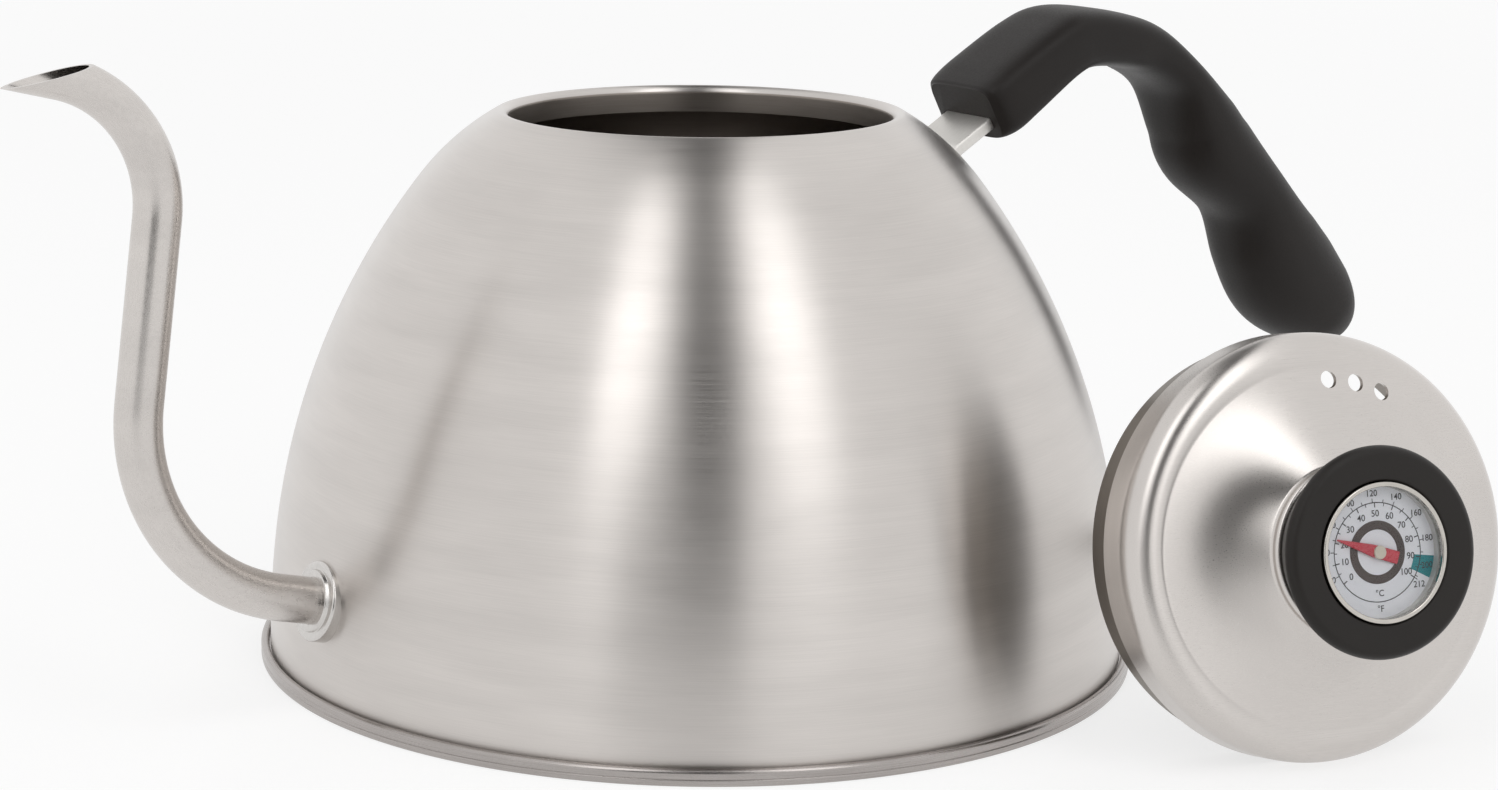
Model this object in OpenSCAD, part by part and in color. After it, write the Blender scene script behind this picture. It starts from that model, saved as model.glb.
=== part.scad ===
// Gooseneck pour-over kettle with its lid taken off and stood beside it.
// Origin: centre of the flat underside. -X is the spout, +X the handle, +Z up.

/* [Body] */
// Outer diameter of the base ring
base_d = 168; // [160:1:180]
// Height of the base ring above the surface it stands on
base_ring_h = 3; // [2.8:0.1:3.6]
// Thickness of the heat plate let into the underside of the base
heat_plate_t = 1; // [0.6:0.1:1.1]
// Sheet thickness of the body and of the base pan
body_wall = 0.8; // [0.6:0.1:0.9]
// How far the foot of the body stands in from the edge of the base ring
foot_inset = 1.85; // [1.7:0.05:3]
// Radius of the gentle curve at the foot of the body
barrel_r = 182; // [174:1:190]
// Angle that the gentle curve turns through
barrel_turn = 6.9; // [6.6:0.1:7.2]
// Radius of the long flank of the body
flank_r = 139; // [134:0.5:142]
// Angle that the flank turns through
flank_turn = 30.6; // [30.2:0.1:31.4]
// Radius of the top of the body
crown_r = 48.5; // [46:0.5:50]
// Angle that the top of the body turns through
crown_turn = 22.9; // [22:0.1:24]
// Inner radius of the mouth
mouth_r = 36.2; // [35.2:0.1:36.6]
// Depth of the turned-in neck below the rolled rim
neck_h = 3.5; // [3:0.5:7]

/* [Spout] */
// Outer radius of the spout tube
spout_r = 4.26; // [3.9:0.02:4.5]
// Outer radius of the spout tube at its beak
beak_r = 3.85; // [3.6:0.05:3.95]
// Wall of the spout tube
spout_wall = 0.5; // [0.4:0.1:0.8]
// Height of the spout root above the table
spout_z = 20.1; // [18:0.1:22]
// Slope at which the spout leaves the body
spout_rise = 13.8; // [12:0.2:15]
// Straight length of the spout at its root
root_len = 9; // [7:0.5:12]
// Radius of the lower bend
low_bend_r = 35; // [32:0.5:38]
// Angle that the lower bend turns through
low_bend_turn = 83.7; // [80:0.1:86]
// Straight length of the riser between the bends
riser_len = 32.2; // [28:0.2:38]
// Radius of the upper bend
top_bend_r = 23.1; // [20:0.1:26]
// Angle that the upper bend turns back through
top_bend_turn = 83.2; // [80:0.1:84]
// Length of the beak's lower side past the upper bend
beak_len = 9.4; // [7:0.1:10]
// Slope of the beak's cut
beak_slope = 11; // [9:0.2:12]
// Radius of the collar's flange
collar_r = 7.35; // [7:0.05:8]
// Distance of the collar's face from the spout root
collar_out = 2.4; // [2.4:0.1:3.2]

/* [Handle] */
// Width of the steel strap
strap_w = 14; // [10:0.5:16]
// Thickness of the steel strap
strap_t = 2.5; // [2:0.1:3]
// How far along the flank the strap turns away from the body, as an angle
strap_seat = 29.1; // [28:0.1:29.8]
// Middle radius of the strap's bend at its foot
strap_bend_r = 3; // [2.8:0.1:4]
// Slope at which the strap rises from the body
strap_rise = 31; // [28:0.5:34]
// Bare length of strap between its bend and the grip
strap_bare = 6.2; // [4:0.1:9]
// Length of strap held inside the grip
tang_len = 21; // [16:0.5:22]
// Height of the strap's foot plate, measured up the body
foot_plate_h = 20; // [14:0.5:26]
// Full width of the grip
grip_w = 23; // [20:0.5:26]
// Full thickness of the grip where the strap enters
grip_t = 10.4; // [9.6:0.2:12]
// Radius of the grip screw's shank
screw_r = 1.75; // [1.5:0.05:2]

/* [Lid] */
// Radius of the lid's rim
lid_rim_r = 37.2; // [36.8:0.1:38.4]
// Radial room between the lid's plug and the mouth
plug_clearance = 0.6; // [0.3:0.05:1]
// Depth of the plug below the rim
plug_depth = 7.25; // [5:0.25:9]
// Sheet thickness of the lid and its plug
lid_wall = 0.8; // [0.6:0.1:1]
// Height of the straight wall of the lid
lid_wall_h = 5.2; // [4:0.1:7]
// Radius of the lid's shoulder
shoulder_r = 5; // [4.4:0.1:5.4]
// Slope of the lid's face just inside the shoulder
face_slope = 14; // [12:0.5:16]
// Slope of the lid's face where it meets the neck
dish_slope = 35.5; // [34:0.5:37]
// Radius at which the face turns up into the neck
flare_start_r = 15.4; // [15:0.1:15.8]
// Radius of the turn at the foot of the neck
flare_r = 1; // [0.9:0.1:1.2]
// Straight height of the neck under the knob
neck_rise = 0.2; // [0.1:0.1:0.8]
// Radius of each steam vent
vent_r = 1.5; // [1:0.1:2]
// Distance of the vents from the lid's axis
vent_ring_r = 29; // [27.5:0.1:29.4]
// Angle between neighbouring vents
vent_step = 10.6; // [8:0.2:14]
// Outer radius of the black knob ring
knob_r = 17.9; // [17.4:0.1:20]
// Thickness of the knob ring
knob_t = 9.3; // [9:0.1:9.8]
// Slope of the knob's side, which widens towards its face
knob_side = 62; // [60:1:72]

/* [Thermometer] */
// Outer radius of the dial's bezel
bezel_r = 11.84; // [11.4:0.02:12.4]
// Outer radius of the stem
stem_r = 2; // [1.8:0.05:2.4]
// Length of the stem below the lid's rim
stem_len = 56; // [45:0.5:58]
// Radius of the threaded boss under the dial
boss_r = 4; // [3.6:0.1:4.6]
// Width of the clamp nut across its corners
nut_d = 15; // [13:0.5:17]
// Radius of the needle's spindle
spindle_r = 0.5; // [0.4:0.05:0.6]
// Radial running clearance of the spindle in its bush
spindle_clearance = 0.04; // [0.02:0.01:0.08]
// Length of the needle from its hub to its tip
needle_len = 8.3; // [7:0.1:8.8]
// Temperature that the needle shows at rest, in degrees Celsius
needle_temp = 21.5; // [5:0.5:95]

/* [Where the lid stands] */
// Distance of the lid's rim centre towards the handle
lid_x = 55.5; // [50:0.5:60]
// Distance from the edge of the base ring to the middle of the lid's rim, in front of it
lid_gap = 21; // [20:0.5:30]
// Turn of the lid towards the spout
lid_turn = 12.54; // [8:0.5:14]

/* [Hidden] */
$fn = 96;
eps = 0.01;
steel = "#c3bfba";
black = "#2b2624";

// A path point is [x, z, heading]. A positive radius and turn bend it to the left.
function ahead(p, len) = [p[0] + len * cos(p[2]), p[1] + len * sin(p[2]), p[2]];
function bend(p, r, turn) = [p[0] + r * (sin(p[2] + turn) - sin(p[2])),
    p[1] - r * (cos(p[2] + turn) - cos(p[2])), p[2] + turn];
function bend_run(p, r, turn, n) = [for (i = [1:n]) bend(p, r, turn * i / n)];
// A path moved sideways: positive to the left of its heading.
function aside(p, d) = [p[0] - d * sin(p[2]), p[1] + d * cos(p[2]), p[2]];
function flat(path) = [for (p = path) [p[0], p[1]]];
function reversed(v) = [for (i = [len(v) - 1:-1:0]) v[i]];
// Outline of a sheet that runs along a path, from one offset to another.
function strip(path, a, b) = concat(flat([for (p = path) aside(p, a)]),
    flat(reversed([for (p = path) aside(p, b)])));
function last(v) = v[len(v) - 1];

// The body's outer side, from the foot up to the mouth and down the neck.
pan_floor = heat_plate_t + body_wall;
base_r = base_d / 2;
plate_r = base_r - foot_inset - body_wall;
foot = [base_r - foot_inset, pan_floor, 90];
barrel = concat([foot], bend_run(foot, barrel_r, barrel_turn, 10));
flank_low = bend_run(last(barrel), flank_r, strap_seat, 12);
flank_top = bend_run(last(flank_low), flank_r, flank_turn - strap_seat, 2);
crown = bend_run(last(flank_top), crown_r, crown_turn, 10);
crown_end = last(crown);
roll_r = (crown_end[0] - mouth_r) / (1 + sin(crown_end[2]));
roll = bend_run(crown_end, roll_r, 270 - crown_end[2], 12);
body_path = concat(barrel, flank_low, flank_top, crown, roll, [ahead(last(roll), neck_h)]);

// The spout's centre line lies in the plane y = 0 and rises from its root.
root_dip = 0.8;
wall_r = foot[0] - barrel_r + sqrt(pow(barrel_r, 2) - pow(spout_z - foot[1], 2));
spout_root = [wall_r - root_dip, spout_z, spout_rise];
root_end = ahead(spout_root, root_len);
riser_foot = bend(root_end, low_bend_r, low_bend_turn);
riser_head = ahead(riser_foot, riser_len);
beak_root = bend(riser_head, -top_bend_r, -top_bend_turn);
// The tube narrows over its top bend, as shares of the way from root radius to beak radius.
spout_path = concat([[each ahead(spout_root, -2), 0], [each root_end, 0]],
    [for (p = bend_run(root_end, low_bend_r, low_bend_turn, 15)) [each p, 0]],
    [for (i = [0:10]) [each bend(riser_head, -top_bend_r, -top_bend_turn * i / 10), i / 10]],
    [[each ahead(beak_root, beak_len + 0.5), 1]]);
// The cut leaves the beak's lower lip as its furthest point.
lip = aside(ahead(beak_root, beak_len), -beak_r);

// The strap leaves the flank, turns over its bend and rises into the grip.
strap_base = aside(last(flank_low), -strap_t / 2);
strap_bend = bend_run(strap_base, -strap_bend_r, strap_rise - strap_base[2], 8);
strap_out = last(strap_bend);
grip_mouth = ahead(strap_out, strap_bare);
tang_end = ahead(grip_mouth, tang_len);
screw_reach = 12;
screw_seat = ahead(grip_mouth, screw_reach);

// Stations along the grip's middle line, from where the strap enters: distance towards the
// handle's end, height, thickness and width as shares of the grip's own, and squareness.
grip_stations = [
    [1.2, 3.2, 1.08, 0.8, 5.5], [2.3, 3.8, 1.15, 0.92, 5.5], [4.7, 5.3, 1.2, 0.98, 5.5],
    [9, 8.2, 1.2, 1, 5], [19.5, 14.7, 1.11, 1, 4.6], [26.4, 16.8, 1.14, 0.98, 4],
    [36.8, 15.8, 1.05, 0.96, 3.4], [44.6, 13.4, 0.97, 0.92, 2.9], [53.9, 7.1, 0.89, 0.92, 2.6],
    [61, -2.1, 1.47, 0.92, 2.4], [65.8, -9.2, 1.79, 0.94, 2.3], [76.4, -19.2, 1.55, 0.95, 2.3],
    [83.7, -30.2, 2.12, 0.97, 2.3], [89.5, -37.9, 2.33, 0.97, 2.3], [96, -43.6, 2.04, 0.94, 2.3],
    [99.9, -46.9, 1.62, 0.86, 2.3], [103, -49.7, 1.08, 0.64, 2.2], [104.6, -51.2, 0.4, 0.3, 2]];
grip_steps = 3;
grip_sides = 24;

// Heights on the lid are measured from its rim plane, along its axis.
plug_r = mouth_r - plug_clearance;
shoulder_turn = 97;
crease_r = 1.5;
flare_slope = 86;
neck_round_r = 0.8;
knob_round_r = 1.6;
lid_rim = [lid_rim_r, 0, 90];
shoulder_foot = ahead(lid_rim, lid_wall_h);
shoulder = bend_run(shoulder_foot, shoulder_r, shoulder_turn, 12);
crease = bend_run(last(shoulder), -crease_r, 90 - shoulder_turn - face_slope, 5);
face_in = last(crease);
dish_r = (face_in[0] - flare_start_r) / (sin(dish_slope) - sin(face_slope));
dish = bend_run(face_in, -dish_r, face_slope - dish_slope, 10);
flare = bend_run(last(dish), -flare_r, dish_slope - flare_slope, 8);
neck_round = bend_run(ahead(last(flare), neck_rise), neck_round_r, flare_slope, 5);
land_h = last(neck_round)[1];
lid_path = concat([lid_rim, shoulder_foot], shoulder, crease, dish, flare, neck_round,
    [[boss_r, land_h, 180]]);
lid_tilt = atan((lid_rim_r - plug_r) / plug_depth);

// The dial's stack, from the land of the lid's neck upwards.
knob_top = land_h + knob_t;
knob_side_len = (knob_t - knob_round_r * (1 + cos(knob_side))) / sin(knob_side);
knob_foot_r = knob_r - knob_round_r * (1 - sin(knob_side)) - knob_side_len * cos(knob_side);
knob_foot = [knob_foot_r, land_h, knob_side];
knob_edge = bend_run(ahead(knob_foot, knob_side_len), knob_round_r, 180 - knob_side, 8);
case_floor_t = 1;
case_wall = 0.8;
case_r = bezel_r - 0.6;
case_top = knob_top - 2.8;
dial_t = 0.4;
dial_top = case_top + dial_t;
gasket_t = 1.3;
glass_bottom = dial_top + gasket_t;
glass_t = 0.8;
glass_top = glass_bottom + glass_t;
bezel_lip = 0.6;
lip_r = bezel_r - 0.85;
land_bottom = land_h - lid_wall;
washer_t = 1;
nut_top = land_bottom - washer_t;
nut_t = 3.5;
boss_bottom = nut_top - nut_t - 1;
stem_bore = stem_r - 0.3;
stem_bottom = -stem_len;
tip_t = 3;
cap_t = 1;
cup_h = 1.2;
bush_t = 2;
bush_top = boss_bottom + 3;
coil_bottom = stem_bottom + tip_t + 0.05;
coil_turns = 8;
coil_pitch = 2.4;
coil_r = stem_bore - 0.25;
coil_seg = 12;
coil_thick = 0.15;
coil_band = 0.9;
spindle_dip = 2;
spindle_bottom = coil_bottom + coil_turns * coil_pitch - spindle_dip;
needle_bottom = dial_top + 0.45;
needle_t = 0.25;
hub_t = 0.3;
hub_r = 1.15;
needle_turn = -125 + 2.5 * needle_temp;

// Points of a superellipse with half width w and half thickness t.
function bulge(v, sq) = sign(v) * pow(abs(v), 2 / sq);
// Value of a smooth curve through four neighbouring stations.
function smooth4(a, b, c, d, u) = 0.5 * (2 * b + (c - a) * u + (2 * a - 5 * b + 4 * c - d) * u * u
    + (3 * b - a - 3 * c + d) * u * u * u);
function station(i) = grip_stations[min(max(i, 0), len(grip_stations) - 1)];
function along(s) = let (i = floor(s), u = s - i)
    smooth4(station(i - 1), station(i), station(i + 1), station(i + 2), u);
grip_count = (len(grip_stations) - 1) * grip_steps;
grip_rings = [for (k = [0:grip_count]) let (s = k / grip_steps, p = along(s),
    q = along(min(s + 0.05, len(grip_stations) - 1.001)), o = along(max(s - 0.05, 0)),
    h = atan2(q[1] - o[1], q[0] - o[0]))
    [for (j = [0:grip_sides - 1]) let (a = 360 * j / grip_sides,
        up = bulge(sin(a), p[4]) * p[2] * grip_t / 2)
        [grip_mouth[0] + p[0] - up * sin(h), bulge(cos(a), p[4]) * p[3] * grip_w / 2,
            grip_mouth[1] + p[1] + up * cos(h)]]];

// Rings of points round the spout's centre line, a distance inside its outer side.
tube_sides = 28;
function tube_rings(inside) = [for (p = spout_path) let (r = spout_r + (beak_r - spout_r) * p[3] - inside)
    [for (j = [0:tube_sides - 1]) let (a = 360 * j / tube_sides)
        [-p[0] + r * cos(a) * sin(p[2]), r * sin(a), p[1] + r * cos(a) * cos(p[2])]]];

// A closed skin over rings that each have the same number of points. A looped skin joins
// its last ring to its first instead of capping both.
module skin(rings, looped = false) {
    n = len(rings[0]);
    m = len(rings);
    points = [for (r = rings) for (p = r) p];
    sides = [for (i = [0:(looped ? m - 1 : m - 2)]) for (j = [0:n - 1])
        let (k = (j + 1) % n, o = ((i + 1) % m) * n)
            each [[o + k, i * n + k, i * n + j], [o + j, o + k, i * n + j]]];
    first = [for (j = [0:n - 1]) j];
    end = [for (j = [n - 1:-1:0]) (m - 1) * n + j];
    polyhedron(points, looped ? sides : concat([first, end], sides));
}

// Turns a flat outline, drawn as x and z, into a bar across the kettle.
module across(width) {
    rotate([90, 0, 0])
        linear_extrude(width, center = true)
            children();
}

// A round bar or tube along the lid's axis.
module ring(r_out, r_in, low, high) {
    translate([0, 0, low])
        difference() {
            cylinder(r = r_out, h = high - low);
            if (r_in > 0) translate([0, 0, -1]) cylinder(r = r_in, h = high - low + 2);
        }
}

// Stands the lid beside the kettle, leaning back on its rim and its plug.
module stood() {
    translate([lid_x, -(base_r + lid_gap), lid_rim_r * cos(lid_tilt)])
        rotate([0, 0, -lid_turn])
            rotate([90 - lid_tilt, 0, 0])
                children();
}

// Lines local +Z up with the heading of a path point.
module on_path(p) {
    translate([p[0], 0, p[1]])
        rotate([0, 90 - p[2], 0])
            children();
}

module body_shell() {
    bore_h = 8;
    color(steel)
        difference() {
            rotate_extrude() polygon(strip(body_path, 0, body_wall));
            rotate([0, 0, 180]) on_path(spout_root) cylinder(r = spout_r, h = bore_h, center = true);
        }
}

module base_pan() {
    foot_edge = 0.4;
    seam_room = 0.35;
    seam_r = base_r - foot_inset + seam_room;
    bead_r = (base_r - seam_r) / 2;
    under = [base_r - foot_edge, 0, 0];
    side_low = bend(under, foot_edge, 90);
    side_top = ahead(side_low, base_ring_h - bead_r - foot_edge);
    color(steel)
        rotate_extrude()
            polygon(concat([[0, pan_floor], [0, heat_plate_t], [plate_r, heat_plate_t], [plate_r, 0]],
                flat([under]), flat(bend_run(under, foot_edge, 90, 4)), flat([side_top]),
                flat(bend_run(side_top, bead_r, 180, 10)), [[seam_r, pan_floor]]));
}

module heat_plate() {
    color("#b9b5b0") cylinder(r = plate_r, h = heat_plate_t);
}

module spout_tube() {
    cut_l = 40;
    cut_w = 20;
    color(steel)
        difference() {
            skin(concat(tube_rings(0), reversed(tube_rings(spout_wall))), true);
            translate([-lip[0], 0, lip[1]])
                rotate([0, -beak_slope, 0])
                    translate([-cut_l / 2, -cut_w / 2, 0]) cube([cut_l, cut_w, cut_w]);
        }
}

// A flange with a rounded edge and a low step, cut to lie against the body.
module spout_collar() {
    step_r = spout_r + 1.3;
    step_h = 0.6;
    edge = 0.5;
    // The body leans in past the collar like a cone, by these amounts at its foot and head.
    lean_foot = 2.06;
    lean_head = 2;
    rim = [collar_r, -4, 90];
    rim_top = ahead(rim, collar_out - edge - rim[1]);
    rim_round = bend_run(rim_top, edge, 90, 4);
    color(steel)
        difference() {
            rotate([0, 0, 180])
                on_path(spout_root)
                    rotate_extrude()
                        polygon(concat([[spout_r, rim[1]]], flat([rim, rim_top]), flat(rim_round),
                            [[step_r, collar_out], [step_r, collar_out + step_h],
                            [spout_r, collar_out + step_h]]));
            cylinder(r1 = wall_r + lean_foot, r2 = wall_r - lean_head, h = 2 * spout_z, $fn = 360);
        }
}

module handle_strap() {
    plate_low = strap_base[1] - foot_plate_h;
    color(steel)
        difference() {
            union() {
                intersection() {
                    rotate_extrude() polygon(strip(concat(barrel, flank_low), 0, -strap_t));
                    translate([0, -strap_w / 2, plate_low]) cube([base_r, strap_w, base_r]);
                }
                across(strap_w)
                    polygon(strip(concat([strap_base], strap_bend, [tang_end]), -strap_t / 2, strap_t / 2));
            }
            screw_axis() cylinder(r = screw_r + 0.15, h = 20, center = true);
        }
}

// The grip screw's axis stands square on the strap; local zero is the strap's middle.
module screw_axis() {
    translate([screw_seat[0], 0, screw_seat[1]])
        rotate([0, -strap_rise, 0])
            children();
}

module handle_grip() {
    room = 0.05;
    color(black)
        difference() {
            skin(grip_rings);
            across(strap_w + 2 * room)
                polygon(strip([ahead(strap_out, strap_bare - 4), ahead(tang_end, room)],
                    -strap_t / 2 - room, strap_t / 2 + room));
            screw_axis() translate([0, 0, -10]) cylinder(r = screw_r, h = 16.5, $fn = 32);
            screw_axis() translate([0, 0, -12]) cylinder(r = 2 * screw_r, h = 9, $fn = 32);
        }
}

module grip_screw() {
    color("#8d8a86")
        screw_axis()
            difference() {
                union() {
                    translate([0, 0, -3]) cylinder(r = screw_r - 0.05, h = 9);
                    translate([0, 0, -4.6]) cylinder(r = 2 * screw_r - 0.15, h = 1.6);
                }
                for (a = [0, 90])
                    rotate([0, 0, a]) translate([-1.6, -0.3, -5]) cube([3.2, 0.6, 1.4]);
            }
}

module lid_shell() {
    vent_lead = 4.5;
    color(steel)
        stood()
            difference() {
                rotate_extrude() polygon(strip(lid_path, 0, lid_wall));
                for (i = [0:2])
                    rotate([0, 0, -vent_lead - i * vent_step])
                        translate([0, vent_ring_r, shoulder_r])
                            cylinder(r = vent_r, h = 20);
            }
}

module lid_plug() {
    seat = 2.2;
    color(steel)
        stood() {
            ring(plug_r, plug_r - lid_wall, -plug_depth, seat);
            ring(lid_rim_r - lid_wall, plug_r - lid_wall, seat, seat + lid_wall);
        }
}

module knob_ring() {
    hole_r = bezel_r + 0.2;
    color(black)
        stood()
            rotate_extrude()
                polygon(concat([[hole_r, land_h]], flat([knob_foot, ahead(knob_foot, knob_side_len)]),
                    flat(knob_edge), [[hole_r, knob_top]]));
}

module thermo_case() {
    color(steel)
        stood()
            difference() {
                union() {
                    translate([0, 0, land_h]) cylinder(r = case_r, h = case_top - land_h);
                    translate([0, 0, boss_bottom]) cylinder(r = boss_r, h = land_h - boss_bottom + eps);
                }
                translate([0, 0, land_h + case_floor_t]) cylinder(r = case_r - case_wall, h = 10);
                translate([0, 0, boss_bottom - 1]) cylinder(r = stem_r, h = 10 + land_h - boss_bottom);
            }
}

module bezel_ring() {
    color("#d2cfca")
        stood() {
            ring(bezel_r, case_r, land_h + 1.2, glass_top);
            ring(bezel_r, lip_r, glass_top, glass_top + bezel_lip);
        }
}

module dial_plate() {
    color("white") stood() ring(case_r, 1, case_top, dial_top);
}

module glass_gasket() {
    color("#d8d5d0") stood() ring(case_r, lip_r, dial_top, glass_bottom);
}

module dial_glass() {
    color([0.9, 0.95, 1, 0.3]) stood() ring(case_r, 0, glass_bottom, glass_top);
}

module stem_tube() {
    color(steel) stood() ring(stem_r, stem_bore, stem_bottom, land_h);
}

module stem_tip() {
    color(steel)
        stood() {
            ring(stem_bore, 0, stem_bottom, stem_bottom + tip_t);
            ring(stem_bore, coil_r, stem_bottom + tip_t, stem_bottom + tip_t + cup_h);
            ring(stem_r, 0, stem_bottom - cap_t, stem_bottom);
        }
}

// A thin strip wound as a helix inside the foot of the stem.
module bimetal_coil() {
    color("#9c8f7c")
        stood()
            skin([for (k = [0:coil_turns * coil_seg]) let (a = 360 * k / coil_seg,
                z = coil_bottom + coil_pitch * k / coil_seg)
                [for (c = [[0, 0], [coil_thick, 0], [coil_thick, coil_band], [0, coil_band]])
                    [(coil_r - c[0]) * cos(a), (coil_r - c[0]) * sin(a), z + c[1]]]]);
}

module spindle_bush() {
    color("#b08d57")
        stood()
            ring(stem_bore, spindle_r + spindle_clearance, bush_top - bush_t, bush_top);
}

module seal_washer() {
    color("#d9d6d0") stood() ring(nut_d / 2, boss_r, nut_top, land_bottom);
}

module clamp_nut() {
    color(steel)
        stood()
            translate([0, 0, nut_top - nut_t])
                difference() {
                    cylinder(d = nut_d, h = nut_t, $fn = 6);
                    translate([0, 0, -1]) cylinder(r = boss_r, h = nut_t + 2);
                }
}

module needle_spindle() {
    color("#a8a49e") stood() ring(spindle_r, 0, spindle_bottom, needle_bottom + needle_t);
}

// The pointer is drawn pointing up, then turned clockwise to its temperature.
module needle_pointer() {
    tail = 3.8;
    color("#c8203c")
        stood()
            rotate([0, 0, -needle_turn])
                translate([0, 0, needle_bottom])
                    difference() {
                        linear_extrude(needle_t)
                            polygon([[-0.12, needle_len], [0.12, needle_len], [1.05, 1.2], [1.1, -tail],
                                [-1.1, -tail], [-1.05, 1.2]]);
                        translate([0, 0, -1]) cylinder(r = spindle_r, h = 3);
                    }
}

module needle_hub() {
    color("#e6ddc8")
        stood() ring(hub_r, 0, needle_bottom + needle_t, needle_bottom + needle_t + hub_t);
}

body_shell();
base_pan();
heat_plate();
spout_tube();
spout_collar();
handle_strap();
handle_grip();
grip_screw();
lid_shell();
lid_plug();
knob_ring();
thermo_case();
bezel_ring();
dial_plate();
glass_gasket();
dial_glass();
stem_tube();
stem_tip();
bimetal_coil();
spindle_bush();
seal_washer();
clamp_nut();
needle_spindle();
needle_pointer();
needle_hub();
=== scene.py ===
import math
import bpy
import bmesh
from mathutils import Matrix, Vector


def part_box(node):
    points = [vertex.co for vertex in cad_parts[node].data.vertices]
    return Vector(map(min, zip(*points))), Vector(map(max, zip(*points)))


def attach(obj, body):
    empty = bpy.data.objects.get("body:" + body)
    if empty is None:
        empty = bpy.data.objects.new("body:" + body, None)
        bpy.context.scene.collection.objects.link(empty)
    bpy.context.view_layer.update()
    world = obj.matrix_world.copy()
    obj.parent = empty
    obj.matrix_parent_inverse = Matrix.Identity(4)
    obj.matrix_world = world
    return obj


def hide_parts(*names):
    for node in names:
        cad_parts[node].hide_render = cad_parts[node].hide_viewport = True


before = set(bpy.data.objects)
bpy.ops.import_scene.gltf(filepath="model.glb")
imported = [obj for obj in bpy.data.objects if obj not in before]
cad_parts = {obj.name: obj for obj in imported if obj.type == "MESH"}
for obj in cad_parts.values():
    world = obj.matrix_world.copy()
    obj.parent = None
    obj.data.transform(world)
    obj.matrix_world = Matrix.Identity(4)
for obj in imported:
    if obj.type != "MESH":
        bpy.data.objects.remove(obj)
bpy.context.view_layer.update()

# A gooseneck kettle with its lid off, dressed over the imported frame.
# Lengths are in millimetres and angles in degrees, until a mesh, a matrix or a lamp is made.
MM = 0.001


def sin(a):
    return math.sin(math.radians(a))


def cos(a):
    return math.cos(math.radians(a))


# ---------------------------------------------------------------- sizes
def highest(node, axis):
    """A CAD node's highest coordinate along an axis."""
    return round(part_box(node)[1][axis] / MM, 2)


# Body. The base's sizes come from the frame. The rest repeat the part's own, because its source
# isn't there to read.
BASE_R, RING_H = highest("base_pan", 0), highest("base_pan", 2)
PLATE_T = highest("heat_plate", 2)
WALL = 0.8
FOOT_INSET, SEAM_ROOM = 1.85, 0.35
BARREL_R, BARREL_TURN = 182, 6.9
FLANK_R, FLANK_TURN = 139.0, 30.6
CROWN_R, CROWN_TURN = 48.5, 22.9
MOUTH_R, NECK_H = 36.2, 3.5

# Spout.
SPOUT_R, BEAK_R, SPOUT_WALL = 4.26, 3.85, 0.5
SPOUT_Z, SPOUT_RISE, ROOT_LEN, ROOT_DIP = 20.1, 13.8, 9, 0.8
LOW_BEND_R, LOW_BEND_TURN, RISER_LEN = 35, 83.7, 32.2
TOP_BEND_R, TOP_BEND_TURN = 23.1, 83.2
BEAK_LEN, BEAK_SLOPE = 9.4, 11
COLLAR_R, COLLAR_OUT = 7.35, 2.4

# Handle. The tang is drawn half a millimetre shorter than its solid.
STRAP_W, STRAP_T = 14.0, 2.5
STRAP_SEAT, STRAP_BEND_R, STRAP_RISE = 29.1, 3.0, 31
STRAP_BARE, TANG_LEN, FOOT_PLATE_H = 6.2, 20.5, 20
GRIP_W, GRIP_T = 23.0, 10.4
SCREW_REACH, SCREW_HEAD_R = 12, 3.5

# Lid. Heights on it are measured from its rim plane, along its axis.
RIM_R, PLUG_CLEARANCE, PLUG_DEPTH = 37.2, 0.6, 7.25
LID_WALL_H, SHOULDER_R, SHOULDER_TURN = 5.2, 5.0, 97
CREASE_R, FACE_SLOPE, DISH_SLOPE = 1.5, 14, 35.5
FLARE_START_R, FLARE_R, FLARE_SLOPE = 15.4, 1.0, 86
NECK_RISE, NECK_ROUND_R = 0.2, 0.8
VENT_R, VENT_RING_R, VENT_LEAD, VENT_STEP = 1.5, 29.0, 4.5, 10.6
KNOB_R, KNOB_T, KNOB_SIDE, KNOB_ROUND_R = 17.9, 9.3, 62, 1.6
LID_X, LID_GAP, LID_TURN = 55.5, 21, 12.54

# Thermometer. The stem is drawn from below the gauge's boss down.
BEZEL_R, BOSS_R, NUT_R = 11.84, 4, 7.5
STEM_R, STEM_BORE, STEM_LEN, STEM_TOP_DIP = 2.0, 1.7, 56.0, 7.5
DIAL_T, GASKET_T, GLASS_T = 0.4, 1.3, 0.8
NEEDLE_LEN, NEEDLE_TAIL, NEEDLE_TEMP = 8.3, 3.8, 21.5

# Stations along the grip's middle line, from where the strap enters: distance towards the
# handle's end, height, thickness and width as shares of the grip's own, and squareness.
STATIONS = [
    (1.2, 3.2, 1.08, 0.8, 5.5), (2.3, 3.8, 1.15, 0.92, 5.5), (4.7, 5.3, 1.2, 0.98, 5.5),
    (9, 8.2, 1.2, 1, 5), (19.5, 14.7, 1.11, 1, 4.6), (26.4, 16.8, 1.14, 0.98, 4),
    (36.8, 15.8, 1.05, 0.96, 3.4), (44.6, 13.4, 0.97, 0.92, 2.9), (53.9, 7.1, 0.89, 0.92, 2.6),
    (61, -2.1, 1.47, 0.92, 2.4), (65.8, -9.2, 1.79, 0.94, 2.3), (76.4, -19.2, 1.55, 0.95, 2.3),
    (83.7, -30.2, 2.12, 0.97, 2.3), (89.5, -37.9, 2.33, 0.97, 2.3), (96, -43.6, 2.04, 0.94, 2.3),
    (99.9, -46.9, 1.62, 0.86, 2.3), (103, -49.7, 1.08, 0.64, 2.2), (104.6, -51.2, 0.4, 0.3, 2)]


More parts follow.
